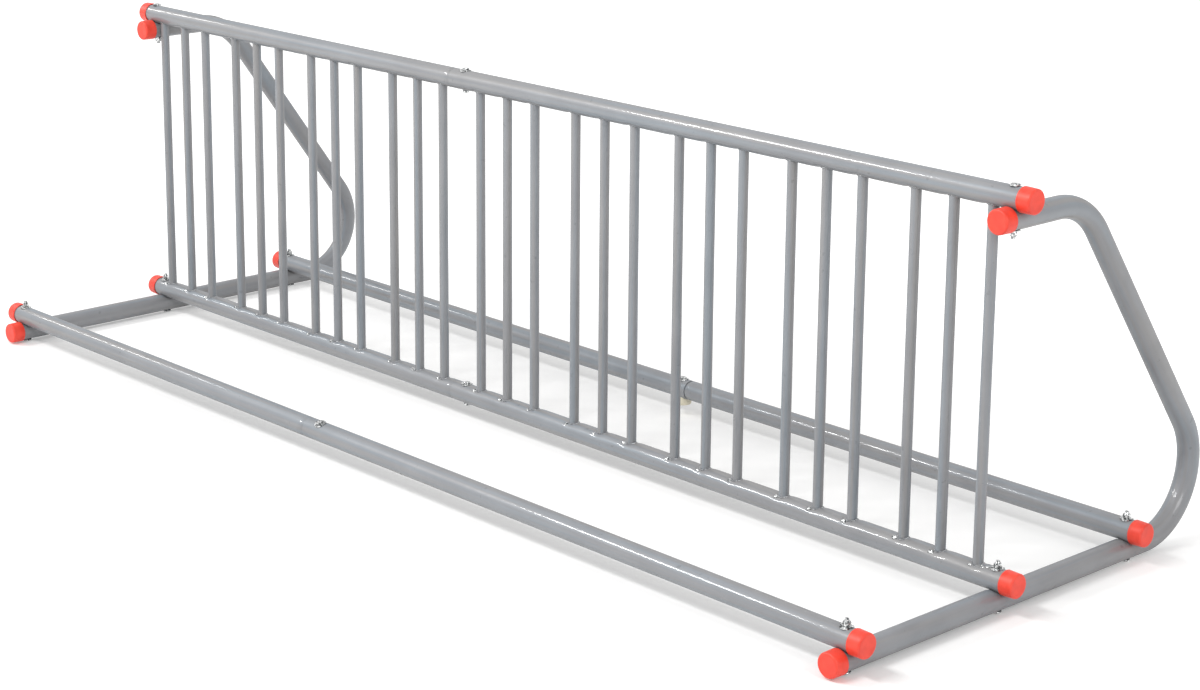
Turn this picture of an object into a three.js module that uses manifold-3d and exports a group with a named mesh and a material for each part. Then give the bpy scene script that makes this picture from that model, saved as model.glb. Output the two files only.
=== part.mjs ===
// Floor bike rack: two bent side frames carry four lengthwise rails, each bolted together from two
// halves. The rails of the middle plane hold a row of upright pickets, and wheels park between them.
// Millimetres, +Z up. X runs along the rack, -Y is its open front, and the rear bends are at +Y.

import * as THREE from 'three';
import { mergeVertices } from 'three/addons/utils/BufferGeometryUtils.js';
import Module from 'manifold-3d';

// ---------------------------------------------------------------- driving sizes

// Tube stock
const TUBE_OD = 47.6;
const TUBE_WALL = 2.1;
const PICKET_OD = 22.2;
const PICKET_WALL = 1.6;

// Picket pattern: groups of three, one wheel slot on each side of a group's middle picket
const GROUPS = 9;
const GROUP_SIZE = 3;
const GROUP_PITCH = 333;
const PICKET_PITCH = 96.7;
const PICKET_INSERT = 10;
const ROW_SHIFT = -7;

// Grid: the row of pickets with its bottom and top rail
const GRID_HEIGHT = 773;
const FRONT_REACH = 444;
const REAR_REACH = 425;

// Rails past the row of pickets and past their bolts
const ROW_TO_BOLT = 42.3;
const RAIL_OVERHANG = 53;

// Side frame: one bent tube
const FRAME_OVERHANG = 52;
const TOP_CORNER_Y = 218;
const REAR_CORNER_Y = 780;
const TOP_BEND_RADIUS = 163;
const REAR_BEND_RADIUS = 150;

// Saddles pressed into the frames, where the rails lie across them
const SADDLE_DEPTH = 7;

// Splices: a swaged neck of one half slides into the other half, under one bolt
const LEFT_HALF_PICKETS = 12;
const SEAM_PAST_PICKET = 48;
const SEAM_TO_BOLT = 38;
const FRONT_SEAM_TO_BOLT = 50;
const REAR_SEAM_TO_PICKET = 45;
const REAR_SEAM_TO_BOLT = 24;
const NECK_PAST_BOLT = 28;
const SWAGE_LENGTH = 12;
const FRONT_SPLICE_TILT = 18;

// End caps: push-on cups
const CAP_LENGTH = 32;
const CAP_WALL = 2.2;
const CAP_END = 3;
const CAP_DRAFT = 0.6;
const CAP_ROUND = 4;

// Bolts through the crossings
const BOLT_D = 9.5;
const BOLT_HOLE_D = 11;
const HEAD_D = 23;
const HEAD_HEIGHT = 5;
const HEAD_CROWN_D = 12;
const HEAD_EDGE = 1.5;
const WASHER_D = 22;
const WASHER_THICK = 1.8;
const NUT_ACROSS_FLATS = 14.3;
const NUT_HEIGHT = 8.3;
const STUD_PAST_NUT = 6;

// Foot under the splice of the rear rail, and the drain hole of the front rail
const FOOT_D = 40;
const FOOT_HEIGHT = 15;
const FOOT_EDGE = 2;
const FOOT_BORE_DEPTH = 10;
const DRAIN_HOLE_D = 6;
const DRAIN_HOLE_X = 165;
const DRAIN_HOLE_ANGLE = 48;

// Gap left between pieces that touch, and the smoothness of round shapes
const GAP = 0.3;
const TUBE_SIDES = 16;
const PICKET_SIDES = 10;
const BOLT_SIDES = 8;
const CUTTER_MARGIN = 5;
const REAR_BEND_STEPS = 11;
const TOP_BEND_STEPS = 5;

// ---------------------------------------------------------------- sizes that follow

const TUBE_R = TUBE_OD / 2;
const CROSSING = TUBE_OD - SADDLE_DEPTH;

const floorRunZ = HEAD_HEIGHT + GAP + TUBE_R;
const gridRailZ = floorRunZ + CROSSING;
const topRailZ = gridRailZ + GRID_HEIGHT;
const upperRunZ = topRailZ - CROSSING;

const picketCount = GROUPS * GROUP_SIZE;
const rowHalf = (GROUP_PITCH * (GROUPS - 1) + PICKET_PITCH * (GROUP_SIZE - 1)) / 2;
const boltX = rowHalf + ROW_TO_BOLT;
const railEndX = boltX + RAIL_OVERHANG - CAP_END - GAP;
const seamX = picketX(LEFT_HALF_PICKETS - 1) + SEAM_PAST_PICKET;
const spliceBoltX = seamX + SEAM_TO_BOLT;
const rearSeamX = picketX(picketCount - LEFT_HALF_PICKETS) - REAR_SEAM_TO_PICKET;
const rearBoltX = rearSeamX - REAR_SEAM_TO_BOLT;

const SIDES = [{ name: 'left', x: -boltX, out: -1 }, { name: 'right', x: boltX, out: 1 }];
const RAILS = [
  { name: 'top_rail', y: 0, z: topRailZ, seam: seamX, bolt: spliceBoltX, tilt: 0 },
  { name: 'grid_rail', y: 0, z: gridRailZ, seam: seamX, bolt: spliceBoltX, tilt: 0 },
  {
    name: 'front_rail',
    y: -FRONT_REACH,
    z: gridRailZ,
    seam: seamX,
    bolt: seamX + FRONT_SEAM_TO_BOLT,
    tilt: FRONT_SPLICE_TILT,
  },
  { name: 'rear_rail', y: REAR_REACH, z: gridRailZ, seam: rearSeamX, bolt: rearBoltX, tilt: 0 },
];

function picketX(index) {
  const group = Math.floor(index / GROUP_SIZE) - (GROUPS - 1) / 2;
  const place = (index % GROUP_SIZE) - (GROUP_SIZE - 1) / 2;
  return ROW_SHIFT + group * GROUP_PITCH + place * PICKET_PITCH;
}

// ---------------------------------------------------------------- materials

function steel() {
  return new THREE.MeshStandardMaterial({ color: 0x9a9da3, roughness: 0.42, metalness: 0.55 });
}

function capVinyl() {
  return new THREE.MeshStandardMaterial({ color: 0xfa4a38, roughness: 0.5, metalness: 0 });
}

function zinc() {
  return new THREE.MeshStandardMaterial({ color: 0xb9bcbe, roughness: 0.3, metalness: 0.9 });
}

function footRubber() {
  return new THREE.MeshStandardMaterial({ color: 0xe6dfc9, roughness: 0.6, metalness: 0 });
}

// ---------------------------------------------------------------- solids

const wasm = await Module();
wasm.setup();

function toSolid(geometry) {
  const bare = geometry.index ? geometry.toNonIndexed() : geometry.clone();
  bare.deleteAttribute('normal');
  bare.deleteAttribute('uv');
  const merged = mergeVertices(bare, 1e-4);
  const vertProperties = new Float32Array(merged.attributes.position.array);
  const triVerts = new Uint32Array(merged.index.array);
  return new wasm.Manifold(new wasm.Mesh({ numProp: 3, vertProperties, triVerts }));
}

function toGeometry(solid) {
  const mesh = solid.getMesh();
  const geometry = new THREE.BufferGeometry();
  geometry.setAttribute('position', new THREE.BufferAttribute(new Float32Array(mesh.vertProperties), 3));
  geometry.setIndex(new THREE.BufferAttribute(new Uint32Array(mesh.triVerts), 1));
  geometry.computeVertexNormals();
  return geometry;
}

function cutAll(geometry, cutters) {
  return toGeometry(cutters.reduce((solid, cutter) => solid.subtract(toSolid(cutter)), toSolid(geometry)));
}

function joinAll(geometries) {
  return toGeometry(geometries.map(toSolid).reduce((whole, solid) => whole.add(solid)));
}

// Turns a profile of [radius, place along the axis] about +Z.
function turned(profile, sides) {
  const points = profile.map(([radius, along]) => new THREE.Vector2(radius, along));
  return new THREE.LatheGeometry(points, sides).rotateX(Math.PI / 2);
}

// A solid rod along +Z from one height to another.
function rod(diameter, from, to, sides) {
  const geometry = new THREE.CylinderGeometry(diameter / 2, diameter / 2, to - from, sides);
  return geometry.rotateX(Math.PI / 2).translate(0, 0, (from + to) / 2);
}

function addPiece(parent, name, geometry, material) {
  const mesh = new THREE.Mesh(geometry, material);
  mesh.name = name;
  parent.add(mesh);
  return mesh;
}

// ---------------------------------------------------------------- side frames

// A planar centreline of straights and round bends. Its stations lie at even parameters,
// so an extrusion puts a section at each bend step and none along the straights.
class BentTubePath extends THREE.Curve {
  constructor(stations) {
    super();
    this.stations = stations;
  }

  getPoint(t, target = new THREE.Vector3()) {
    return target.copy(this.stations[this.nearest(t)].point);
  }

  getTangent(t, target = new THREE.Vector3()) {
    return target.copy(this.stations[this.nearest(t)].tangent);
  }

  getPointAt(t, target) {
    return this.getPoint(t, target);
  }

  getTangentAt(t, target) {
    return this.getTangent(t, target);
  }

  nearest(t) {
    return Math.round(t * (this.stations.length - 1));
  }
}

function bendStations(before, corner, after, radius, steps) {
  const into = corner.clone().sub(before).normalize();
  const out = after.clone().sub(corner).normalize();
  const turn = into.angleTo(out);
  const reach = radius * Math.tan(turn / 2);
  const axis = into.clone().cross(out).normalize();
  const start = corner.clone().addScaledVector(into, -reach);
  const centre = start.clone().addScaledVector(axis.clone().cross(into), radius);
  const stations = [];
  for (let i = 0; i <= steps; i++) {
    const angle = (turn * i) / steps;
    const point = start.clone().sub(centre).applyAxisAngle(axis, angle).add(centre);
    stations.push({ point, tangent: into.clone().applyAxisAngle(axis, angle) });
  }
  return stations;
}

function frameStations(endInset) {
  const upperEnd = new THREE.Vector3(0, -FRAME_OVERHANG + endInset, upperRunZ);
  const topCorner = new THREE.Vector3(0, TOP_CORNER_Y, upperRunZ);
  const rearCorner = new THREE.Vector3(0, REAR_CORNER_Y, floorRunZ);
  const floorEnd = new THREE.Vector3(0, -FRONT_REACH - FRAME_OVERHANG + endInset, floorRunZ);
  return [
    { point: upperEnd, tangent: new THREE.Vector3(0, 1, 0) },
    ...bendStations(upperEnd, topCorner, rearCorner, TOP_BEND_RADIUS, TOP_BEND_STEPS),
    ...bendStations(topCorner, rearCorner, floorEnd, REAR_BEND_RADIUS, REAR_BEND_STEPS),
    { point: floorEnd, tangent: new THREE.Vector3(0, -1, 0) },
  ];
}

function circlePoints(radius, sides) {
  const points = [];
  for (let i = 0; i < sides; i++) {
    const angle = (2 * Math.PI * i) / sides;
    points.push(new THREE.Vector2(radius * Math.cos(angle), radius * Math.sin(angle)));
  }
  return points;
}

function bentRod(radius, endInset) {
  const stations = frameStations(endInset);
  const section = new THREE.Shape(circlePoints(radius, TUBE_SIDES));
  const path = new BentTubePath(stations);
  return new THREE.ExtrudeGeometry(section, { steps: stations.length - 1, extrudePath: path });
}

// Rods in the places of the rails, which press the saddles into a frame.
function saddleCutters(radius) {
  const reach = TUBE_R + CUTTER_MARGIN;
  const crossRod = rod(2 * radius, -reach, reach, TUBE_SIDES).rotateY(Math.PI / 2);
  return RAILS.map(({ y, z }) => crossRod.clone().translate(0, y, z));
}

function boltHole(y, z) {
  return rod(BOLT_HOLE_D, -TUBE_R - CUTTER_MARGIN, TUBE_R + CUTTER_MARGIN, BOLT_SIDES).translate(0, y, z);
}

function sideFrameGeometry() {
  const outside = cutAll(bentRod(TUBE_R, CAP_END + GAP), saddleCutters(TUBE_R + GAP));
  const bore = cutAll(bentRod(TUBE_R - TUBE_WALL, -CUTTER_MARGIN), saddleCutters(TUBE_R + GAP + TUBE_WALL));
  return cutAll(outside, [
    bore,
    boltHole(0, upperRunZ),
    boltHole(-FRONT_REACH, floorRunZ),
    boltHole(0, floorRunZ),
    boltHole(REAR_REACH, floorRunZ),
  ]);
}

function addSideFrames(rack) {
  for (const side of SIDES) {
    const frame = addPiece(rack, `side_frame_${side.name}`, sideFrameGeometry(), steel());
    frame.position.x = side.x;
  }
}

// ---------------------------------------------------------------- rails

// The half whose end is swaged down to a neck, along +Z from its plain end at zero.
function neckHalfGeometry(length, neckLength) {
  const bore = TUBE_R - TUBE_WALL;
  const neck = bore - GAP;
  return turned([
    [bore, 0],
    [TUBE_R, 0],
    [TUBE_R, length - SWAGE_LENGTH],
    [neck, length],
    [neck, length + neckLength],
    [neck - TUBE_WALL, length + neckLength],
    [neck - TUBE_WALL, length],
    [bore, length - SWAGE_LENGTH],
    [bore, 0],
  ], TUBE_SIDES);
}

// The half whose open end takes the neck, along +Z from its plain end at zero.
function socketHalfGeometry(length) {
  const bore = TUBE_R - TUBE_WALL;
  return turned([[bore, 0], [TUBE_R, 0], [TUBE_R, length], [bore, length], [bore, 0]], TUBE_SIDES);
}

function picketHole(x, down) {
  const reach = TUBE_R + CUTTER_MARGIN;
  return rod(PICKET_OD + 2 * GAP, down ? -reach : 0, down ? 0 : reach, PICKET_SIDES).translate(x, 0, 0);
}

function railHoles(rail, inside) {
  const crossings = [-boltX, boltX].filter(inside);
  const cutters = crossings.map((x) => boltHole(0, 0).translate(x, 0, 0));
  if (inside(rail.bolt)) cutters.push(spliceHole(rail));
  const holdsPickets = rail.name === 'top_rail' || rail.name === 'grid_rail';
  for (let i = 0; holdsPickets && i < picketCount; i++) {
    if (inside(picketX(i))) cutters.push(picketHole(picketX(i), rail.name === 'top_rail'));
  }
  if (rail.name === 'front_rail' && inside(DRAIN_HOLE_X)) cutters.push(drainHole());
  return cutters;
}

// The hole of a splice's bolt, whose top leans to the front by the rail's tilt.
function spliceHole(rail) {
  return boltHole(0, 0).rotateX(THREE.MathUtils.degToRad(rail.tilt)).translate(rail.bolt, 0, 0);
}

function drainHole() {
  const toFront = Math.PI / 2 + THREE.MathUtils.degToRad(DRAIN_HOLE_ANGLE);
  const hole = rod(DRAIN_HOLE_D, 0, TUBE_R + CUTTER_MARGIN, BOLT_SIDES);
  return hole.rotateX(toFront).translate(DRAIN_HOLE_X, 0, 0);
}

function addRails(rack) {
  for (const rail of RAILS) {
    const neckSide = rail.bolt > rail.seam ? SIDES[0] : SIDES[1];
    const socketSide = neckSide === SIDES[0] ? SIDES[1] : SIDES[0];
    const neckReach = Math.abs(rail.bolt - rail.seam) + NECK_PAST_BOLT;
    const neckStop = rail.seam + neckSide.out * GAP;
    const neckLength = Math.abs(neckSide.out * railEndX - neckStop);
    const socketLength = Math.abs(socketSide.out * railEndX - rail.seam);
    const halves = [
      { side: neckSide, geometry: neckHalfGeometry(neckLength, neckReach), end: neckStop },
      { side: socketSide, geometry: socketHalfGeometry(socketLength), end: rail.seam },
    ];
    for (const { side, geometry, end } of halves) {
      geometry.rotateY((-side.out * Math.PI) / 2).translate(side.out * railEndX, 0, 0);
      const inside = (x) => (x - end) * side.out > 0;
      const reachesBolt = (x) => inside(x) || x === rail.bolt;
      const cutters = railHoles(rail, side === neckSide ? reachesBolt : inside);
      const half = addPiece(rack, `${rail.name}_${side.name}`, cutAll(geometry, cutters), steel());
      half.position.set(0, rail.y, rail.z);
    }
  }
}

// ---------------------------------------------------------------- pickets

function addPickets(rack) {
  const bottom = gridRailZ + TUBE_R - PICKET_INSERT;
  const top = topRailZ - TUBE_R + PICKET_INSERT;
  const tube = rod(PICKET_OD, bottom, top, PICKET_SIDES);
  const bore = rod(PICKET_OD - 2 * PICKET_WALL, bottom - CUTTER_MARGIN, top + CUTTER_MARGIN, PICKET_SIDES);
  for (let i = 0; i < picketCount; i++) {
    const name = `picket_${String(i + 1).padStart(2, '0')}`;
    const picket = addPiece(rack, name, cutAll(tube, [bore]), steel());
    picket.position.x = picketX(i);
  }
}

// ---------------------------------------------------------------- end caps

// A cup along +Z, with its closed face at zero and its rim below.
function capGeometry() {
  const inner = TUBE_R + GAP;
  const rim = inner + CAP_WALL;
  const face = rim - CAP_DRAFT;
  return turned([
    [0, -CAP_END],
    [inner, -CAP_END],
    [inner, -CAP_LENGTH],
    [rim, -CAP_LENGTH],
    [face, -CAP_ROUND],
    [face - CAP_ROUND, 0],
    [0, 0],
  ], TUBE_SIDES);
}

function addCaps(rack) {
  for (const side of SIDES) {
    for (const rail of RAILS) {
      const geometry = capGeometry().rotateY((side.out * Math.PI) / 2);
      const cap = addPiece(rack, `cap_${rail.name}_${side.name}`, geometry, capVinyl());
      cap.position.set(side.x + side.out * RAIL_OVERHANG, rail.y, rail.z);
    }
    const frameCaps = [
      { run: 'floor_run', y: -FRONT_REACH - FRAME_OVERHANG, z: floorRunZ },
      { run: 'upper_run', y: -FRAME_OVERHANG, z: upperRunZ },
    ];
    for (const { run, y, z } of frameCaps) {
      const geometry = capGeometry().rotateX(Math.PI / 2);
      addPiece(rack, `cap_${run}_${side.name}`, geometry, capVinyl()).position.set(side.x, y, z);
    }
  }
}

// ---------------------------------------------------------------- bolts and foot

// Bolt with its washer and nut, along +Z with the head's crown at zero, gripping two crossed tubes.
function crossingBoltGeometry() {
  const washerFrom = HEAD_HEIGHT + GAP + TUBE_OD + CROSSING + GAP;
  const nutFrom = washerFrom + WASHER_THICK;
  const studEnd = nutFrom + NUT_HEIGHT + STUD_PAST_NUT;
  const head = turned([
    [0, 0],
    [HEAD_CROWN_D / 2, 0],
    [HEAD_D / 2, HEAD_HEIGHT - HEAD_EDGE],
    [HEAD_D / 2, HEAD_HEIGHT],
    [0, HEAD_HEIGHT],
  ], TUBE_SIDES);
  const shank = rod(BOLT_D, HEAD_HEIGHT - HEAD_EDGE, studEnd, BOLT_SIDES);
  const washer = rod(WASHER_D, washerFrom, nutFrom, TUBE_SIDES);
  const nut = rod(NUT_ACROSS_FLATS / Math.cos(Math.PI / 6), washerFrom, nutFrom + NUT_HEIGHT, 6);
  return joinAll([head, shank, washer, nut]);
}

function addCrossingBolts(rack) {
  for (const side of SIDES) {
    for (const rail of RAILS) {
      const bolt = addPiece(rack, `bolt_${rail.name}_${side.name}`, crossingBoltGeometry(), zinc());
      bolt.position.set(side.x, rail.y, 0);
      if (rail.name === 'top_rail') {
        bolt.rotation.x = Math.PI;
        bolt.position.z = topRailZ + floorRunZ;
      }
    }
  }
}

// A short pad that hangs from the splice's bolt, clear of the floor until the rail bends under load.
function addFoot(rack) {
  const body = turned([
    [0, 0],
    [FOOT_D / 2 - FOOT_EDGE, 0],
    [FOOT_D / 2, FOOT_EDGE],
    [FOOT_D / 2, FOOT_HEIGHT],
    [0, FOOT_HEIGHT],
  ], TUBE_SIDES);
  const boreFrom = FOOT_HEIGHT - FOOT_BORE_DEPTH;
  const bore = rod(BOLT_HOLE_D, boreFrom, FOOT_HEIGHT + CUTTER_MARGIN, BOLT_SIDES);
  const foot = addPiece(rack, 'rear_rail_foot', cutAll(body, [bore]), footRubber());
  foot.position.set(rearBoltX, REAR_REACH, gridRailZ - TUBE_R - GAP - FOOT_HEIGHT);
}

// ---------------------------------------------------------------- the rack

function depthMiddle() {
  const front = -FRONT_REACH - FRAME_OVERHANG;
  const bend = Math.atan2(GRID_HEIGHT, REAR_CORNER_Y - TOP_CORNER_Y);
  const rear = REAR_CORNER_Y - REAR_BEND_RADIUS / Math.tan(bend / 2) + REAR_BEND_RADIUS + TUBE_R;
  return (front + rear) / 2;
}

function bikeRack() {
  const rack = new THREE.Group();
  addSideFrames(rack);
  addRails(rack);
  addPickets(rack);
  addCaps(rack);
  addCrossingBolts(rack);
  addFoot(rack);
  rack.position.y = -depthMiddle();
  return rack;
}

const group = new THREE.Group();
group.add(bikeRack());

export default group;
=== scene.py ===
"""Floor bike rack: smooth tubes, welds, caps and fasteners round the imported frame, in a plain studio.

Metres, +Z up. X runs along the rack and -Y is its open front. Places come from the frame's nodes.
"""

import math
import random

import bpy
from mathutils import Euler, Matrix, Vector, noise


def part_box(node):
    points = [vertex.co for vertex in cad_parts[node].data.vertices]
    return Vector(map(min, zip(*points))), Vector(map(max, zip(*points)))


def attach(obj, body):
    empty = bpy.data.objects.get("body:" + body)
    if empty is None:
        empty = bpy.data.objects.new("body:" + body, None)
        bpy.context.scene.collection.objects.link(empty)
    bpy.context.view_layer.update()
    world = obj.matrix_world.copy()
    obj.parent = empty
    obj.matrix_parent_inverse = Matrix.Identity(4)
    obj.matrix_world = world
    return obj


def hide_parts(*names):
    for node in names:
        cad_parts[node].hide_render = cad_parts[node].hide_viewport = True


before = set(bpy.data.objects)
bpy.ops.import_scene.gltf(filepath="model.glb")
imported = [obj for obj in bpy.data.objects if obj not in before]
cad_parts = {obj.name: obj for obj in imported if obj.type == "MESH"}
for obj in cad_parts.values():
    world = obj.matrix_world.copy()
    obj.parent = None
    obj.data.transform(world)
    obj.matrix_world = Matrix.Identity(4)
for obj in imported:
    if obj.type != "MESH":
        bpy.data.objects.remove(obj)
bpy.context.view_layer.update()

# ---------------------------------------------------------------- sizes

MM = 0.001
TIP_R = 0.2 * MM  # closes the middle of a turned skin
SEAT_GAP = 0.2 * MM  # between a washer and its tube
OVERLAP = 1 * MM  # of a shank with its head
QUARTER_STEPS = 8

# Tubes
TUBE_R = 23.8 * MM
TUBE_WALL = 2.1 * MM
BORE_R = TUBE_R - TUBE_WALL
PICKET_R = 11.1 * MM
TUBE_SIDES = 64
PICKET_SIDES = 36
PICKET_SPANS = 12

# Side frame's centreline, from the plane of the pickets
TOP_CORNER_Y = 218 * MM
REAR_CORNER_Y = 780 * MM
TOP_BEND_R = 163 * MM
REAR_BEND_R = 150 * MM
BEND_STEP = math.radians(2.5)
COARSE_STEP = 14 * MM
FINE_STEP = 2.5 * MM
SADDLE_REACH = 34 * MM
SADDLE_GAP = 0.3 * MM
SADDLE_BLEND = 2.2 * MM
SADDLE_LIP_REACH = 4  # in blends
LEVEL_SLOPE = 1e-6

# Dents that the punch left round the picket holes
DENT_DEPTH = 3.4 * MM
DENT_LENGTH = 17 * MM
DENT_ANGLE = math.radians(42)
DENT_REACH = 3  # in lengths
DENT_FINE_REACH = 2.2 * DENT_LENGTH
HOLES_AT = {"top_rail": math.pi, "grid_rail": 0}  # angles from the rail's top

# Splices
NECK_TAPER = 5 * MM
NECK_CLEAR = 0.4 * MM
RIM_ROUND = 0.9 * MM
SOCKET_DEPTH = 12 * MM
NECK_LENGTH = 10 * MM
SPLICE_BOLT_FROM_SEAM = {
    "top_rail": 38 * MM,
    "grid_rail": 38 * MM,
    "front_rail": 50 * MM,
    "rear_rail": -24 * MM,
}
SPLICE_TILT = {"front_rail": math.radians(18)}
SPLICE_NUTS_ON = ("top_rail", "grid_rail")

# Weld beads, whose radius varies by shares of itself, and whose place and height are such shares too
BEAD_R = 2.1 * MM
BEAD_STEPS = 72
BEAD_SIDES = 10
BEAD_RIPPLES = 17
BEAD_BASE = 0.9
BEAD_RIPPLE = 0.10
BEAD_HEAVY_SIDE = 0.22
BEAD_LUMPS = 0.15
BEAD_LUMP_SCALE = 3
BEAD_OUT = 0.35
BEAD_RISE = 0.15
BEAD_HEIGHT = 0.85
TOP_BEAD_SEED = 100

# Weld drops on the grid rail, and the spatter beside the last picket
DROP_SIZES_MM = (3.2, 4.4, 5.2)
DROP_STRETCH = (1.25, 1, 0.7)
DROP_LUMPS = 0.28
DROP_LUMP_SCALE = 1.3
DROP_SINK = 0.4  # of the dent's depth
DROP_ROWS = 12
DROP_SIDES = 20
DROP_SEED = 300
DROP_ANGLE = math.radians(38)
DROP_ANGLE_SPREAD = 0.12
DROP_REACH = 12 * MM
DROP_REACH_SHARES = (0.8, 1.15)
SPATTER_COUNT = 7
SPATTER_SIZES_MM = (1.8, 3.0)
SPATTER_ANGLES = (0.3, 0.6)
SPATTER_FROM = 14 * MM
SPATTER_PITCH = 4 * MM
SPATTER_SEED = 50

# Caps
CAP_ROUND = 4.2 * MM
CAP_WALL = 2.2 * MM
CAP_END = 3.0 * MM
CAP_DRAFT = 0.6 * MM
CAP_DISH = 0.5 * MM
CAP_DISH_SHARES = (0.85, 0.6, 0.35, 0.1)
CAP_INNER_LIP = 0.6 * MM
CAP_OUTER_LIP = 0.7 * MM
CAP_SIDES = 72

# Fasteners
STUD_R = 4.75 * MM
ROD_SIDES = 24
THREAD_PITCH = 1.6 * MM
THREAD_DEPTH = 0.5 * MM
THREAD_TIP = 0.3 * MM
THREAD_TIP_INSET = 1.4  # in thread depths
HEAD_R = 11.5 * MM
HEAD_HEIGHT = 5.0 * MM
HEAD_RIM = 1.2 * MM
HEAD_BEVEL = (0.3 * MM, 0.5 * MM)
HEAD_SIDES = 40
WASHER_R = 14 * MM
WASHER_ROWS = 6
WASHER_SIDES = 48
WASHER_THICK = 1.8 * MM
WASHER_BEND_R = 40 * MM
NUT_FLATS = 14.3 * MM
NUT_HEIGHT = 8.3 * MM
NUT_CHAMFER = 0.9 * MM
NUT_FACE = 1.01  # radius of the end faces, of half the flats
NUT_SIDES = 48
HALF_HEX = math.pi / 6
SPLICE_HEAD_HEIGHT = 3.1 * MM
SPLICE_NUT_HEIGHT = 5.5 * MM

# Foot pad: shares of its radius for its flat ends, and (inset, height) in mm up its side
FOOT_HUG = 6 * MM
FOOT_SIDES = 72
FOOT_BOTTOM_SHARES = (0.01, 0.45, 0.88)
FOOT_SIDE_MM = ((1.2, 0.5), (0.3, 1.6), (0, 3), (0, 9), (0.6, 9.6))
FOOT_TOP_INSET = 0.8 * MM
FOOT_TOP_ROUND = 1 * MM
FOOT_TOP_SHARES = (0.92, 0.7, 0.45, 0.2, 0.01)

# Drain hole
DRAIN_HOLE_R = 3 * MM
DRAIN_HOLE_DEPTH = 1 * MM
DRAIN_HOLE_PROUD = 0.05 * MM
DRAIN_HOLE_X = 165 * MM
DRAIN_HOLE_ANGLE = math.radians(138)

# Camera, with its angles in degrees and its film and lens in millimetres
CAMERA_PLACE = (4.3921, -3.8750, 1.9270)
CAMERA_HEADING = 47.453
CAMERA_TILT = -13.179
CAMERA_ROLL = 0.392
CAMERA_LENS = 76.31
CAMERA_FILM = 36
CAMERA_SHIFT = (0.0131, -0.1167)
CAMERA_CLIP = (0.1, 200)

# Studio
FLOOR_HALF = 40
FLOOR_SINK = 0.2 * MM
FLOOR_GLOW_NEAR = 0.12
FLOOR_GLOW_FAR = 0.64
FLOOR_GLOW_REACH = (0.5, 2.2)
# The oval's middle lies in front of the rack, so the glow grows backwards: painted light over the pickets'
# shade behind the grid.
FLOOR_OVAL_PLACE = (-0.2, 0.45, 0)
FLOOR_OVAL_SCALE = (0.5, 1, 1)
WORLD_LIGHT = 0.62

# Lamps: name, place, aim, (width, height), watts
LAMPS = (
    ("front_left", (-4.5, -4.6, 4.8), (0.6, -0.1, 0.2), (1.7, 0.6), 185),
    ("front_right", (0.6, -2.6, 3.2), (0.6, 0, 0.2), (1.6, 0.5), 66),
    ("left", (-3.6, -0.85, 1.97), (-0.8, 0, 0.3), (0.14, 0.8), 9),
    ("right_fill", (4.5, -0.5, 2.2), (0.8, 0, 0.4), (1.5, 1.5), 34),
)

# ---------------------------------------------------------------- places from the frame

SIDES = {"left": -1, "right": 1}
RAIL_NAMES = ("top_rail", "grid_rail", "front_rail", "rear_rail")


def middle(node):
    low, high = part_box(node)
    return (low + high) / 2


PICKETS = sorted(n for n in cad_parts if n.startswith("picket_"))
PICKET_XS = [middle(n).x for n in PICKETS]
GRID_Y = middle(PICKETS[0]).y
RAIL_AXES = {name: middle(f"{name}_left") for name in RAIL_NAMES}

# ---------------------------------------------------------------- materials

NOISE_SPAN = (0.3, 0.7)  # where most of a noise's values lie
BAND_STRETCH = 0.4  # of the streaks' factor, so bands run longer
GLOSS_FADE = (0.42, 0.85)


def new_material(name):
    material = bpy.data.materials.new(name)
    material.use_nodes = True
    return material, material.node_tree, material.node_tree.nodes["Principled BSDF"]


def add_noise(tree, scale, detail, stretch=(1, 1, 1)):
    """A noise texture in the object's own metres, stretched along the axes with small factors."""
    place = tree.nodes.new("ShaderNodeTexCoord")
    mapping = tree.nodes.new("ShaderNodeMapping")
    mapping.inputs["Scale"].default_value = stretch
    texture = tree.nodes.new("ShaderNodeTexNoise")
    texture.inputs["Scale"].default_value = scale
    texture.inputs["Detail"].default_value = detail
    tree.links.new(place.outputs["Object"], mapping.inputs["Vector"])
    tree.links.new(mapping.outputs["Vector"], texture.inputs["Vector"])
    return texture.outputs["Fac"]


def add_ramp(tree, value, stops):
    """Colours for a value, from stops of (position, colour)."""
    ramp = tree.nodes.new("ShaderNodeValToRGB")
    elements = ramp.color_ramp.elements
    while len(elements) < len(stops):
        elements.new(0.5)
    for element, (position, colour) in zip(elements, stops):
        element.position = position
        element.color = (*colour, 1)
    tree.links.new(value, ramp.inputs["Fac"])
    return ramp.outputs["Color"]


def add_range(tree, value, low, high):
    """Spreads a noise's usual values over low to high."""
    spread = tree.nodes.new("ShaderNodeMapRange")
    spread.inputs["From Min"].default_value, spread.inputs["From Max"].default_value = NOISE_SPAN
    spread.inputs["To Min"].default_value = low
    spread.inputs["To Max"].default_value = high
    tree.links.new(value, spread.inputs["Value"])
    return spread.outputs["Result"]


def multiplied(tree, colour, *others):
    for other in others:
        mix = tree.nodes.new("ShaderNodeMix")
        mix.data_type = "RGBA"
        mix.blend_type = "MULTIPLY"
        mix.inputs["Factor"].default_value = 1
        tree.links.new(colour, mix.inputs["A"])
        tree.links.new(other, mix.inputs["B"])
        colour = mix.outputs["Result"]
    return colour


def add_bump(tree, shader, layers):
    """Chains bumps of (height, strength, distance) into the shader's normal."""
    normal = None
    for height, strength, distance in layers:
        bump = tree.nodes.new("ShaderNodeBump")
        bump.inputs["Strength"].default_value = strength
        bump.inputs["Distance"].default_value = distance
        tree.links.new(height, bump.inputs["Height"])
        if normal:
            tree.links.new(normal, bump.inputs["Normal"])
        normal = bump.outputs["Normal"]
    tree.links.new(normal, shader.inputs["Normal"])


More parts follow.
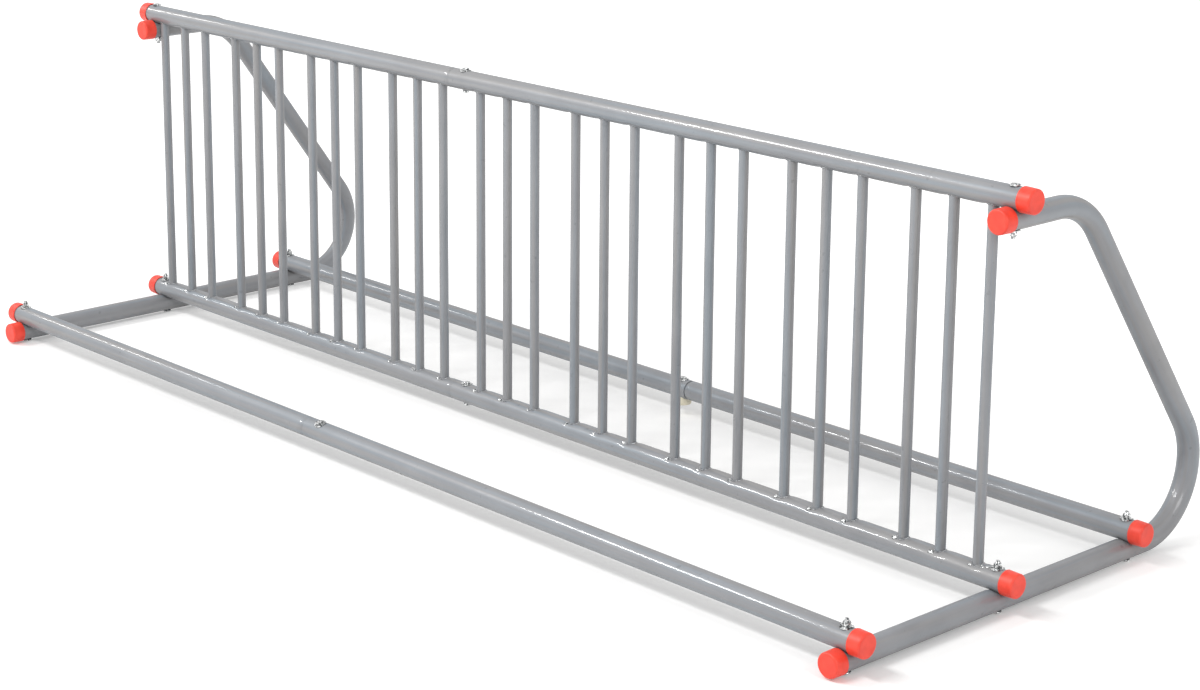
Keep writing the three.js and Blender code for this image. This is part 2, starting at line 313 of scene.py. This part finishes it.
def fade_at_rim(tree, centre, rim):
    """A gloss that fades where the surface turns away from the viewer."""
    edge = tree.nodes.new("ShaderNodeLayerWeight")
    fade = tree.nodes.new("ShaderNodeMapRange")
    fade.inputs["From Min"].default_value, fade.inputs["From Max"].default_value = GLOSS_FADE
    fade.inputs["To Min"].default_value = centre
    fade.inputs["To Max"].default_value = rim
    tree.links.new(edge.outputs["Facing"], fade.inputs["Value"])
    return fade.outputs["Result"]


def dress(tree, shader, colour, roughness):
    tree.links.new(colour, shader.inputs["Base Color"])
    tree.links.new(roughness, shader.inputs["Roughness"])


def steel_material(name, stretch):
    """Grey coated tube: drawing streaks and tinted bands along it, mottling, scuffs and an orange peel."""
    material, tree, shader = new_material(name)
    mottle = add_noise(tree, 9, 4)
    streaks = add_noise(tree, 150, 2, stretch)
    scuffs = add_noise(tree, 60, 6)
    grey = add_ramp(tree, mottle, [(0.3, (0.240, 0.246, 0.260)), (0.7, (0.272, 0.278, 0.292))])
    lines = add_ramp(tree, streaks, [(0.3, (0.93, 0.93, 0.93)), (0.6, (1, 1, 1))])
    bands = add_noise(tree, 85, 2, [BAND_STRETCH * share if share < 1 else 1 for share in stretch])
    warm, plain, cool = (1.03, 0.995, 0.95), (0.98, 0.98, 0.98), (0.92, 1.0, 1.05)
    tints = add_ramp(tree, bands, [(0.34, warm), (0.5, plain), (0.66, cool)])
    marks = add_ramp(tree, scuffs, [(0.27, (0.80, 0.80, 0.80)), (0.34, (1, 1, 1))])
    dress(tree, shader, multiplied(tree, grey, tints, lines, marks), add_range(tree, scuffs, 0.36, 0.48))
    tree.links.new(fade_at_rim(tree, 0.4, 0.10), shader.inputs["Specular IOR Level"])
    tree.links.new(fade_at_rim(tree, 0.55, 0.08), shader.inputs["Coat Weight"])
    shader.inputs["Metallic"].default_value = 0.08
    shader.inputs["Coat Roughness"].default_value = 0.06
    peel = add_noise(tree, 700, 1)
    waves = add_noise(tree, 14, 1, stretch)
    add_bump(tree, shader, [(peel, 0.05, 0.0004), (waves, 0.05, 0.002)])
    return material


def weld_material():
    """Bare weld metal, dark and bright in patches."""
    material, tree, shader = new_material("weld_bead")
    patches = add_noise(tree, 260, 3)
    colour = add_ramp(tree, patches, [(0.35, (0.22, 0.225, 0.24)), (0.65, (0.46, 0.47, 0.48))])
    dress(tree, shader, colour, add_range(tree, patches, 0.12, 0.28))
    shader.inputs["Metallic"].default_value = 0.7
    add_bump(tree, shader, [(add_noise(tree, 480, 2), 0.5, 0.0006)])
    return material


def vinyl_material():
    """Dipped vinyl: soft red with cloudy tone, fine grain and a satin skin."""
    material, tree, shader = new_material("cap_vinyl")
    clouds = add_noise(tree, 45, 3)
    colour = add_ramp(tree, clouds, [(0.3, (0.78, 0.046, 0.024)), (0.7, (0.92, 0.074, 0.042))])
    dress(tree, shader, colour, add_range(tree, clouds, 0.38, 0.50))
    shader.inputs["Subsurface Weight"].default_value = 0.12
    shader.inputs["Subsurface Radius"].default_value = (1.0, 0.25, 0.15)
    shader.inputs["Subsurface Scale"].default_value = 0.003
    add_bump(tree, shader, [(add_noise(tree, 900, 2), 0.12, 0.0003), (clouds, 0.10, 0.001)])
    return material


def zinc_with_painted_reflections_material():
    """Zinc plate with a mottled tone whose near-black and near-white patches are painted reflections of a
    darker studio, and a spangled gloss.
    """
    material, tree, shader = new_material("zinc_steel")
    spangle = tree.nodes.new("ShaderNodeTexVoronoi")
    spangle.inputs["Scale"].default_value = 420
    patches = add_noise(tree, 240, 4)
    # Near-black to near-white stops: painted reflections over the zinc's mottled tone.
    stops = [(0.40, (0.10, 0.105, 0.11)), (0.50, (0.46, 0.47, 0.47)), (0.60, (0.85, 0.86, 0.86))]
    colour = add_ramp(tree, patches, stops)
    dress(tree, shader, colour, add_range(tree, spangle.outputs["Distance"], 0.12, 0.26))
    shader.inputs["Metallic"].default_value = 1
    add_bump(tree, shader, [(add_noise(tree, 1200, 2), 0.2, 0.0002)])
    return material


def foot_material():
    """Cream plastic with an uneven tone and fine grain."""
    material, tree, shader = new_material("foot_rubber")
    tone = add_noise(tree, 80, 4)
    colour = add_ramp(tree, tone, [(0.3, (0.70, 0.64, 0.49)), (0.7, (0.80, 0.75, 0.60))])
    dress(tree, shader, colour, add_range(tree, tone, 0.5, 0.65))
    add_bump(tree, shader, [(add_noise(tree, 900, 2), 0.2, 0.0003)])
    return material


def painted_hole_shade_material():
    # Near-black: painted shade for the inside of the drain hole.
    material, tree, shader = new_material("hole_painted_shade")
    tone = add_noise(tree, 300, 2)
    colour = add_ramp(tree, tone, [(0.3, (0.02, 0.02, 0.022)), (0.7, (0.05, 0.05, 0.055))])
    tree.links.new(colour, shader.inputs["Base Color"])
    shader.inputs["Roughness"].default_value = 0.8
    return material


STEEL_X = steel_material("steel_rail", (0.03, 1, 1))
STEEL_Z = steel_material("steel_picket", (1, 1, 0.03))
STEEL_FRAME = steel_material("steel_frame", (1, 0.05, 0.08))
WELD = weld_material()
VINYL = vinyl_material()
ZINC = zinc_with_painted_reflections_material()
FOOT = foot_material()
HOLE_SHADE = painted_hole_shade_material()

# ---------------------------------------------------------------- meshes


def angles_round(count):
    return [2 * math.pi * i / count for i in range(count)]


def quarter_turn():
    return [math.pi / 2 * i / QUARTER_STEPS for i in range(QUARTER_STEPS + 1)]


def lofted(rings, closed=True):
    """Vertices and faces of a skin over rings of as many points each."""
    count = len(rings[0])
    vertices = [point for ring in rings for point in ring]
    faces = []
    for row in range(len(rings) - 1):
        for i in range(count):
            j = (i + 1) % count
            faces.append((row * count + i, row * count + j, (row + 1) * count + j, (row + 1) * count + i))
    if closed:
        faces.append(tuple(reversed(range(count))))
        faces.append(tuple(range((len(rings) - 1) * count, len(rings) * count)))
    return vertices, faces


def turned(profile, sides):
    """A skin turned about +Z from a profile of (radius, height)."""
    angles = angles_round(sides)
    rings = []
    for radius, height in profile:
        rings.append([Vector((radius * math.cos(a), radius * math.sin(a), height)) for a in angles])
    return lofted(rings)


def join_shapes(*shapes):
    vertices, faces = [], []
    for some_vertices, some_faces in shapes:
        start = len(vertices)
        vertices.extend(some_vertices)
        faces.extend(tuple(i + start for i in face) for face in some_faces)
    return vertices, faces


def moved(shape, place, turn=None):
    vertices, faces = shape
    if turn is None:
        return [v + place for v in vertices], faces
    return [turn @ v + place for v in vertices], faces


def add_piece(name, shape, material, slot, *nodes, sharp=35):
    """Adds a mesh that stands for the nodes. Edges above sharp degrees stay hard."""
    vertices, faces = shape
    mesh = bpy.data.meshes.new(name)
    mesh.from_pydata([tuple(v) for v in vertices], [], faces)
    mesh.materials.append(material)
    mesh.shade_smooth()
    mesh.set_sharp_from_angle(angle=math.radians(sharp))
    mesh.validate()
    mesh.update()
    piece = bpy.data.objects.new(name, mesh)
    bpy.context.scene.collection.objects.link(piece)
    if nodes:
        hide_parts(*nodes)
    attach(piece, "root")


def steps_between(start, end, fine_places, reach):
    """Places from start to end, close together within reach of the fine places and wide apart elsewhere."""
    places = [start]
    direction = 1 if end > start else -1
    while (end - places[-1]) * direction > FINE_STEP:
        near = any(abs(places[-1] + direction * FINE_STEP - p) < reach for p in fine_places)
        step = FINE_STEP if near else COARSE_STEP
        places.append(places[-1] + direction * step)
    places[-1] = end
    return places


# ---------------------------------------------------------------- side frames


def frame_centreline(low_z, high_z, upper_end_y, lower_end_y):
    """Points and directions of the frame's centreline, in (y, z), from its upper end to its lower end."""
    corners = [
        Vector((upper_end_y, high_z)),
        Vector((GRID_Y + TOP_CORNER_Y, high_z)),
        Vector((GRID_Y + REAR_CORNER_Y, low_z)),
        Vector((lower_end_y, low_z)),
    ]
    crossings = [axis.y for axis in RAIL_AXES.values()]
    line = []
    start = corners[0]
    for before, corner, after, radius in zip(corners, corners[1:], corners[2:], (TOP_BEND_R, REAR_BEND_R)):
        into = (corner - before).normalized()
        out = (after - corner).normalized()
        turn = into.angle(out)
        bend_start = corner - into * radius * math.tan(turn / 2)
        line += straight_line(start, bend_start, crossings)
        centre = bend_start + Vector((into.y, -into.x)) * radius
        steps = round(turn / BEND_STEP)
        for i in range(1, steps):
            angle = -turn * i / steps
            line.append((centre + turned_by(bend_start - centre, angle), turned_by(into, angle)))
        start = corner + out * radius * math.tan(turn / 2)
    return line + straight_line(start, corners[-1], crossings)


def turned_by(vector, angle):
    c, s = math.cos(angle), math.sin(angle)
    return Vector((vector.x * c - vector.y * s, vector.x * s + vector.y * c))


def straight_line(start, end, crossings):
    """The centreline's points and directions from start to end, close together at the saddles."""
    along = (end - start).normalized()
    length = (end - start).length
    near = [(y - start.x) / along.x for y in crossings] if abs(along.y) < LEVEL_SLOPE else []
    return [(start + along * d, along) for d in steps_between(0, length, near, SADDLE_REACH)]


def pressed(point):
    """Moves a point of the frame out of the rails' saddles, with a rounded lip."""
    for axis in RAIL_AXES.values():
        away = Vector((point.y - axis.y, point.z - axis.z))
        floor = TUBE_R + SADDLE_GAP
        excess = (away.length - floor) / SADDLE_BLEND
        if excess < SADDLE_LIP_REACH:
            wanted = floor + SADDLE_BLEND * math.log1p(math.exp(excess))
            lip = away.normalized() * (wanted - away.length)
            point = Vector((point.x, point.y + lip.x, point.z + lip.y))
    return point


def add_side_frames():
    for side in SIDES:
        node = f"side_frame_{side}"
        low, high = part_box(node)
        x = (low.x + high.x) / 2
        upper_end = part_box(f"cap_upper_run_{side}")[0].y + CAP_END
        lower_end = low.y
        rings = []
        for place, along in frame_centreline(low.z + TUBE_R, high.z - TUBE_R, upper_end, lower_end):
            across = Vector((-along.y, along.x))
            ring = []
            for angle in angles_round(TUBE_SIDES):
                flat = place + across * TUBE_R * math.sin(angle)
                ring.append(pressed(Vector((x + TUBE_R * math.cos(angle), flat.x, flat.y))))
            rings.append(ring)
        add_piece(f"frame_tube_{side}", lofted(rings), STEEL_FRAME, "grey_steel", node)


# ---------------------------------------------------------------- rails


def dent(x, angle_from_holes):
    """How far the wall is pushed in at a place along the rail and an angle from the line of the holes."""
    depth = 0
    for picket_x in PICKET_XS:
        along = (x - picket_x) / DENT_LENGTH
        if abs(along) < DENT_REACH:
            depth += math.exp(-along * along)
    spread = angle_from_holes / DENT_ANGLE
    return DENT_DEPTH * depth * math.exp(-spread * spread)


def rail_skin(name, profile):
    """A skin of rings at the profile's (x, radius), dented towards the pickets."""
    axis = RAIL_AXES[name]
    rings = []
    for x, radius in profile:
        ring = []
        for angle in angles_round(TUBE_SIDES):
            depth = 0
            if name in HOLES_AT and radius > BORE_R:
                from_holes = abs((angle - HOLES_AT[name] + math.pi) % (2 * math.pi) - math.pi)
                depth = dent(x, from_holes)
            wall = radius - depth
            ring.append(Vector((x, axis.y + wall * math.sin(angle), axis.z + wall * math.cos(angle))))
        rings.append(ring)
    return lofted(rings)


def splice_sides(name):
    """The sides of the half with the socket and of the half with the neck."""
    return ("right", "left") if SPLICE_BOLT_FROM_SEAM[name] > 0 else ("left", "right")


def seam_x(name):
    """The open end of the half with the socket."""
    socket_side, _ = splice_sides(name)
    low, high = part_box(f"{name}_{socket_side}")
    return low.x if socket_side == "right" else high.x


def tube_wall(name, start, side):
    """(x, radius) along the outside of a rail's half, from start to its far end."""
    low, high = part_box(f"{name}_{side}")
    end = high.x if side == "right" else low.x
    fine = PICKET_XS if name in HOLES_AT else []
    return [(x, TUBE_R) for x in steps_between(start, end, fine, DENT_FINE_REACH)]


def socket_profile(name, side):
    """(x, radius) from inside the socket, round its rim and along the outside."""
    seam, out = seam_x(name), SIDES[side]
    lip = seam + out * RIM_ROUND
    rim = [(seam + out * SOCKET_DEPTH, BORE_R), (lip, BORE_R)]
    rim += [(seam, BORE_R + RIM_ROUND), (seam, TUBE_R - RIM_ROUND)]
    return rim + tube_wall(name, lip, side)


def neck_profile(name, side):
    """(x, radius) from the neck's end inside the socket, over its shoulder and along the outside."""
    seam, out = seam_x(name), SIDES[side]
    neck_r = BORE_R - NECK_CLEAR
    neck = [(seam - out * NECK_LENGTH, neck_r), (seam + out * NECK_CLEAR, neck_r)]
    return neck + tube_wall(name, seam + out * (NECK_TAPER + NECK_CLEAR), side)


def add_rails():
    for name in RAIL_NAMES:
        socket_side, neck_side = splice_sides(name)
        halves = {socket_side: socket_profile(name, socket_side), neck_side: neck_profile(name, neck_side)}
        for side, profile in halves.items():
            node = f"{name}_{side}"
            add_piece(f"tube_{node}", rail_skin(name, profile), STEEL_X, "grey_steel", node)


# ---------------------------------------------------------------- pickets and welds


def add_pickets():
    for node in PICKETS:
        low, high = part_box(node)
        centre = middle(node)
        heights = [low.z + (high.z - low.z) * i / PICKET_SPANS for i in range(PICKET_SPANS + 1)]
        shape = turned([(PICKET_R, z) for z in heights], PICKET_SIDES)
        add_piece(f"tube_{node}", moved(shape, Vector((centre.x, centre.y, 0))), STEEL_Z, "grey_steel", node)


def bead_shape(x, rail, up, seed):
    """A rippled weld bead where a picket enters the rail's top (up = 1) or underside (up = -1)."""
    luck = random.Random(seed)
    phase = luck.uniform(0, 2 * math.pi)
    heavy = luck.uniform(0, 2 * math.pi)
    axis = RAIL_AXES[rail]
    rings = []
    for turn in angles_round(BEAD_STEPS):
        ripple = BEAD_RIPPLE * abs(math.sin(BEAD_RIPPLES * turn / 2 + phase))
        lumps = BEAD_LUMPS * noise.noise(Vector((BEAD_LUMP_SCALE * turn, seed, 0)))
        swell = BEAD_HEAVY_SIDE * math.cos(turn - heavy) + lumps
        radius = BEAD_R * (BEAD_BASE + ripple + swell)
        out = PICKET_R + BEAD_OUT * radius
        y = out * math.sin(turn)
        wall = math.sqrt(TUBE_R ** 2 - y ** 2) - dent(x + out * math.cos(turn), math.asin(abs(y) / TUBE_R))
        ring = []
        for around in angles_round(BEAD_SIDES):
            reach = out + radius * math.cos(around)
            height = wall + radius * (BEAD_RISE + BEAD_HEIGHT * math.sin(around))
            ahead, aside = reach * math.cos(turn), reach * math.sin(turn)
            ring.append(Vector((x + ahead, axis.y + aside, axis.z + up * height)))
        rings.append(ring)
    vertices, faces = lofted(rings + [rings[0]], closed=False)
    return (vertices, faces) if up > 0 else (vertices, [tuple(reversed(f)) for f in faces])


def drop_shape(x, seed, size, angle):
    """A drop of weld metal that lies on the grid rail, leaning to the front by the angle."""
    axis = RAIL_AXES["grid_rail"]
    turn = Euler((angle, 0, 0)).to_matrix()
    rings = []
    seat = Vector((x, 0, TUBE_R - DENT_DEPTH * DROP_SINK))
    for row in range(1, DROP_ROWS):
        rise = math.pi * row / DROP_ROWS
        ring = []
        for around in angles_round(DROP_SIDES):
            width = math.sin(rise)
            way = Vector((width * math.cos(around), width * math.sin(around), math.cos(rise)))
            lumpy = size * (1 + DROP_LUMPS * noise.noise(way * DROP_LUMP_SCALE + Vector((seed, 0, 0))))
            point = Vector([share * part for share, part in zip(DROP_STRETCH, way)]) * lumpy
            ring.append(turn @ (point + seat))
        rings.append([Vector((v.x, v.y + axis.y, v.z + axis.z)) for v in ring])
    return lofted(list(reversed(rings)))


def spatter_shapes(x, luck):
    """Small drops in a row beside the last picket."""
    drops = []
    for index in range(SPATTER_COUNT):
        place = x + SPATTER_FROM + SPATTER_PITCH * index
        size = luck.uniform(*SPATTER_SIZES_MM) * MM
        drops.append(drop_shape(place, SPATTER_SEED + index, size, luck.uniform(*SPATTER_ANGLES)))
    return drops


def add_weld_drops():
    """A drop beside each bottom bead, and spatter beside the last picket."""
    for index, x in enumerate(PICKET_XS):
        luck = random.Random(DROP_SEED + index)
        size = luck.choice(DROP_SIZES_MM) * MM
        angle = DROP_ANGLE + luck.uniform(-DROP_ANGLE_SPREAD, DROP_ANGLE_SPREAD)
        reach = DROP_REACH * luck.uniform(*DROP_REACH_SHARES)
        drops = [drop_shape(x - reach, index, size, angle)]
        if x == PICKET_XS[-1]:
            drops += spatter_shapes(x, luck)
        add_piece(f"weld_drop_{index + 1:02d}", join_shapes(*drops), ZINC, "zinc_steel", sharp=60)


def add_weld_beads():
    for index, x in enumerate(PICKET_XS):
        number = f"{index + 1:02d}"
        bottom = bead_shape(x, "grid_rail", 1, index)
        top = bead_shape(x, "top_rail", -1, TOP_BEAD_SEED + index)
        add_piece(f"weld_bottom_{number}", bottom, WELD, "grey_steel")
        add_piece(f"weld_top_{number}", top, WELD, "grey_steel")


# ---------------------------------------------------------------- caps


def cap_profile(length, outer):
    """(radius, height) of a push-on cup with its closed face at zero and its rim at -length."""
    face = outer - CAP_DRAFT
    inner = outer - CAP_WALL
    profile = [(TIP_R, -CAP_END), (inner, -CAP_END), (inner, -length + CAP_INNER_LIP)]
    profile += [(inner + CAP_INNER_LIP, -length), (outer - CAP_OUTER_LIP, -length)]
    profile.append((outer, -length + CAP_OUTER_LIP))
    for angle in quarter_turn():
        radius = face - CAP_ROUND + CAP_ROUND * math.cos(angle)
        profile.append((radius, -CAP_ROUND + CAP_ROUND * math.sin(angle)))
    flat = face - CAP_ROUND
    profile += [(flat * share, -CAP_DISH * (1 - share ** 2)) for share in CAP_DISH_SHARES]
    return profile


def add_caps():
    for node in sorted(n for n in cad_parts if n.startswith("cap_")):
        low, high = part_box(node)
        centre = (low + high) / 2
        sides = high - low
        if node.startswith(("cap_floor_run", "cap_upper_run")):
            turn = Euler((math.pi / 2, 0, 0)).to_matrix()
            place = Vector((centre.x, low.y, centre.z))
            length, outer = sides.y, sides.x / 2
        else:
            out = 1 if centre.x > 0 else -1
            turn = Euler((0, out * math.pi / 2, 0)).to_matrix()
            place = Vector((high.x if out > 0 else low.x, centre.y, centre.z))
            length, outer = sides.x, sides.y / 2
        shape = turned(cap_profile(length, outer), CAP_SIDES)
        add_piece(f"vinyl_{node}", moved(shape, place, turn), VINYL, "cap_vinyl", node)


# ---------------------------------------------------------------- fasteners


def head_shape():
    """A low domed head, with its flat underside at zero and its crown at -HEAD_HEIGHT."""
    inset, drop = HEAD_BEVEL
    profile = [(TIP_R, 0), (HEAD_R - inset, 0), (HEAD_R, -drop), (HEAD_R, -HEAD_RIM)]
    for angle in quarter_turn()[1:]:
        rise = (HEAD_HEIGHT - HEAD_RIM) * math.sin(angle)
        profile.append((HEAD_R * math.cos(angle) + TIP_R, -HEAD_RIM - rise))
    return turned(list(reversed(profile)), HEAD_SIDES)


def thread_shape(start, end):
    root = STUD_R - THREAD_DEPTH
    profile = [(root, start)]
    height = start
    while height < end - THREAD_PITCH:
        profile.append((root, height))
        profile.append((STUD_R, height + THREAD_PITCH / 2))
        height += THREAD_PITCH
    profile += [(root, height), (STUD_R - THREAD_TIP_INSET * THREAD_DEPTH, end - THREAD_TIP), (TIP_R, end)]
    return turned(profile, ROD_SIDES)


def nut_shape(start, height):
    """A hex nut with chamfered corners, standing at start."""
    half = NUT_FLATS / 2
    corner, narrow = half / math.cos(HALF_HEX), half * NUT_FACE
    levels = ((0, narrow), (NUT_CHAMFER, corner), (height - NUT_CHAMFER, corner), (height, narrow))
    rings = []
    for level, limit in levels:
        ring = []
        for angle in angles_round(NUT_SIDES):
            within = (angle + HALF_HEX) % (2 * HALF_HEX) - HALF_HEX
            radius = min(half / math.cos(within), limit)
            ring.append(Vector((radius * math.cos(angle), radius * math.sin(angle), start + level)))
        rings.append(ring)
    return lofted(rings)


def saddle_washer_shape(rail_top):
    """A washer bent over the rail, whose axis is X. rail_top is the height of the rail's top."""
    vertices, faces = [], []
    rows, sides = WASHER_ROWS, WASHER_SIDES
    for level in (0, 1):
        bend_r = WASHER_BEND_R + level * WASHER_THICK
        for row in range(rows + 1):
            radius = WASHER_R * row / rows
            for angle in angles_round(sides):
                y = radius * math.sin(angle)
                sag = bend_r - math.sqrt(bend_r ** 2 - y ** 2)
                height = rail_top + SEAT_GAP + level * WASHER_THICK - sag
                vertices.append(Vector((radius * math.cos(angle), y, height)))
    layer = (rows + 1) * sides
    for row in range(rows):
        for i in range(sides):
            a, b = row * sides + i, row * sides + (i + 1) % sides
            faces.append((a, a + sides, b + sides, b))
            faces.append((layer + a, layer + b, layer + b + sides, layer + a + sides))
    for i in range(sides):
        a, b = rows * sides + i, rows * sides + (i + 1) % sides
        faces.append((a, layer + a, layer + b, b))
    return vertices, faces


def crossing_bolt_shape(rail_top, stud_end):
    """Along +Z from the head's crown at zero."""
    nut_from = rail_top + SEAT_GAP + WASHER_THICK
    return join_shapes(
        moved(head_shape(), Vector((0, 0, HEAD_HEIGHT))),
        turned([(STUD_R, HEAD_HEIGHT - OVERLAP), (STUD_R, nut_from)], ROD_SIDES),
        saddle_washer_shape(rail_top),
        nut_shape(nut_from, NUT_HEIGHT),
        thread_shape(nut_from, stud_end),
    )


def add_crossing_bolts():
    for node in sorted(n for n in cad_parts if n.startswith("bolt_")):
        low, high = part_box(node)
        centre = (low + high) / 2
        length = high.z - low.z
        far_tube_top = RAIL_AXES["grid_rail"].z + TUBE_R
        shape = crossing_bolt_shape(far_tube_top, length)
        if node.startswith("bolt_top_rail"):
            turn = Euler((math.pi, 0, math.pi / 2)).to_matrix()
            shape = moved(shape, Vector((centre.x, centre.y, high.z)), turn)
        else:
            shape = moved(shape, Vector((centre.x, centre.y, low.z)))
        add_piece(f"fastener_{node}", shape, ZINC, "zinc_steel", node, sharp=30)


def add_splice_bolts():
    """A low head on a saddle washer above, and on some rails a thin nut below."""
    face = TUBE_R + SEAT_GAP
    for name in RAIL_NAMES:
        head = nut_shape(face + WASHER_THICK, SPLICE_HEAD_HEIGHT)
        shank = turned([(STUD_R, -face), (STUD_R, face + OVERLAP)], ROD_SIDES)
        shapes = [saddle_washer_shape(TUBE_R), head, shank]
        if name in SPLICE_NUTS_ON:
            shapes.append(nut_shape(-face - SPLICE_NUT_HEIGHT, SPLICE_NUT_HEIGHT))
        axis = RAIL_AXES[name]
        place = Vector((seam_x(name) + SPLICE_BOLT_FROM_SEAM[name], axis.y, axis.z))
        turn = Euler((SPLICE_TILT.get(name, 0), 0, 0)).to_matrix()
        shape = moved(join_shapes(*shapes), place, turn)
        add_piece(f"splice_bolt_{name}", shape, ZINC, "zinc_steel", sharp=30)


def foot_ring(centre, radius, height):
    """A ring of the pad at a height, or lower where the rail is in its way."""
    axis = RAIL_AXES["rear_rail"]
    ring = []
    for angle in angles_round(FOOT_SIDES):
        x, y = radius * math.cos(angle), radius * math.sin(angle)
        seat = axis.z - math.sqrt((TUBE_R + SADDLE_GAP) ** 2 - y * y)
        ring.append(Vector((centre.x + x, centre.y + y, min(height, seat))))
    return ring


def add_foot():
    """A pad whose top hugs the rail's underside."""
    low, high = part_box("rear_rail_foot")
    centre = (low + high) / 2
    radius, bottom = (high.x - low.x) / 2, low.z
    top = RAIL_AXES["rear_rail"].z - TUBE_R + FOOT_HUG
    levels = [(share * radius, bottom) for share in FOOT_BOTTOM_SHARES]
    levels += [(radius - inset * MM, bottom + height * MM) for inset, height in FOOT_SIDE_MM]
    levels.append((radius - FOOT_TOP_INSET, top - FOOT_TOP_ROUND))
    levels += [(share * radius, top) for share in FOOT_TOP_SHARES]
    rings = [foot_ring(centre, ring_radius, height) for ring_radius, height in levels]
    add_piece("foot_body", lofted(rings), FOOT, "foot_rubber", "rear_rail_foot")


def add_drain_hole():
    """A near-black plug in the hole in the front rail's lower front: painted shade for the hole's inside."""
    axis = RAIL_AXES["front_rail"]
    turn = Euler((DRAIN_HOLE_ANGLE, 0, 0)).to_matrix()
    place = Vector((DRAIN_HOLE_X, axis.y, axis.z))
    ends = [(DRAIN_HOLE_R, TUBE_R - DRAIN_HOLE_DEPTH), (DRAIN_HOLE_R, TUBE_R + DRAIN_HOLE_PROUD)]
    add_piece("drain_hole", moved(turned(ends, ROD_SIDES), place, turn), HOLE_SHADE, "grey_steel")


# ---------------------------------------------------------------- stage


def seen_directly(tree):
    """One for camera, glossy and transmission rays, zero for the rays that light the object."""
    paths = tree.nodes.new("ShaderNodeLightPath")
    value = paths.outputs["Is Camera Ray"]
    for name in ("Is Glossy Ray", "Is Transmission Ray"):
        either = tree.nodes.new("ShaderNodeMath")
        either.operation = "MAXIMUM"
        tree.links.new(value, either.inputs[0])
        tree.links.new(paths.outputs[name], either.inputs[1])
        value = either.outputs[0]
    return value


def floor_material():
    """White floor that shows as full white, also far off, and still takes the rack's shadow. Its glow is
    painted light that is weakest in front of the rack and grows backwards, so it also lifts the pickets'
    shade behind the grid.
    """
    material, tree, shader = new_material("stage_floor")
    tone = add_noise(tree, 2, 2)
    colour = add_ramp(tree, tone, [(0.3, (0.875, 0.872, 0.865)), (0.7, (0.89, 0.887, 0.88))])
    tree.links.new(colour, shader.inputs["Base Color"])
    shader.inputs["Roughness"].default_value = 0.9
    shader.inputs["Specular IOR Level"].default_value = 0.1
    place = tree.nodes.new("ShaderNodeTexCoord")
    oval = tree.nodes.new("ShaderNodeMapping")
    oval.inputs["Location"].default_value = FLOOR_OVAL_PLACE
    oval.inputs["Scale"].default_value = FLOOR_OVAL_SCALE
    distance = tree.nodes.new("ShaderNodeVectorMath")
    distance.operation = "LENGTH"
    tree.links.new(place.outputs["Object"], oval.inputs["Vector"])
    tree.links.new(oval.outputs["Vector"], distance.inputs[0])
    glow = tree.nodes.new("ShaderNodeMapRange")
    glow.interpolation_type = "SMOOTHSTEP"
    glow.inputs["From Min"].default_value, glow.inputs["From Max"].default_value = FLOOR_GLOW_REACH
    glow.inputs["To Min"].default_value = FLOOR_GLOW_NEAR
    glow.inputs["To Max"].default_value = FLOOR_GLOW_FAR
    tree.links.new(distance.outputs["Value"], glow.inputs["Value"])
    strength = tree.nodes.new("ShaderNodeMath")
    strength.operation = "MULTIPLY"
    tree.links.new(glow.outputs["Result"], strength.inputs[0])
    tree.links.new(seen_directly(tree), strength.inputs[1])
    tree.links.new(strength.outputs[0], shader.inputs["Emission Strength"])
    shader.inputs["Emission Color"].default_value = (1, 1, 1, 1)
    return material


def add_floor():
    corners = [(FLOOR_HALF * x, FLOOR_HALF * y, 0) for x, y in ((-1, -1), (1, -1), (1, 1), (-1, 1))]
    mesh = bpy.data.meshes.new("floor")
    mesh.from_pydata(corners, [], [(0, 1, 2, 3)])
    mesh.materials.append(floor_material())
    floor = bpy.data.objects.new("floor", mesh)
    floor.location.z = -FLOOR_SINK
    bpy.context.scene.collection.objects.link(floor)


def add_world():
    world = bpy.data.worlds.new("studio")
    bpy.context.scene.world = world
    world.use_nodes = True
    tree = world.node_tree
    background = tree.nodes["Background"]
    strength = tree.nodes.new("ShaderNodeMapRange")
    strength.inputs["To Min"].default_value = WORLD_LIGHT
    strength.inputs["To Max"].default_value = 1.0
    tree.links.new(seen_directly(tree), strength.inputs["Value"])
    tree.links.new(strength.outputs["Result"], background.inputs["Strength"])
    background.inputs["Color"].default_value = (1, 1, 1, 1)


def add_area_light(name, place, aim, size, power):
    data = bpy.data.lights.new(name, "AREA")
    data.shape = "RECTANGLE"
    data.size, data.size_y = size
    data.energy = power
    lamp = bpy.data.objects.new(name, data)
    lamp.location = place
    lamp.visible_camera = False
    lamp.rotation_euler = (Vector(aim) - Vector(place)).to_track_quat("-Z", "Y").to_euler()
    bpy.context.scene.collection.objects.link(lamp)


def add_lights():
    for lamp in LAMPS:
        add_area_light(*lamp)


def add_camera():
    data = bpy.data.cameras.new("camera")
    data.sensor_width = CAMERA_FILM
    data.lens = CAMERA_LENS
    data.shift_x, data.shift_y = CAMERA_SHIFT
    data.clip_start, data.clip_end = CAMERA_CLIP
    camera = bpy.data.objects.new("camera", data)
    camera.location = CAMERA_PLACE
    camera.rotation_mode = "QUATERNION"
    aim = Euler((math.radians(90 + CAMERA_TILT), 0, math.radians(CAMERA_HEADING)))
    roll = Euler((0, 0, math.radians(CAMERA_ROLL)))
    camera.rotation_quaternion = aim.to_quaternion() @ roll.to_quaternion()
    bpy.context.scene.collection.objects.link(camera)
    bpy.context.scene.camera = camera
    bpy.context.scene.view_settings.view_transform = "Standard"


# ---------------------------------------------------------------- the rack

add_side_frames()
add_rails()
add_pickets()
add_weld_beads()
add_weld_drops()
add_caps()
add_crossing_bolts()
add_splice_bolts()
add_foot()
add_drain_hole()
add_floor()
add_world()
add_lights()
add_camera()
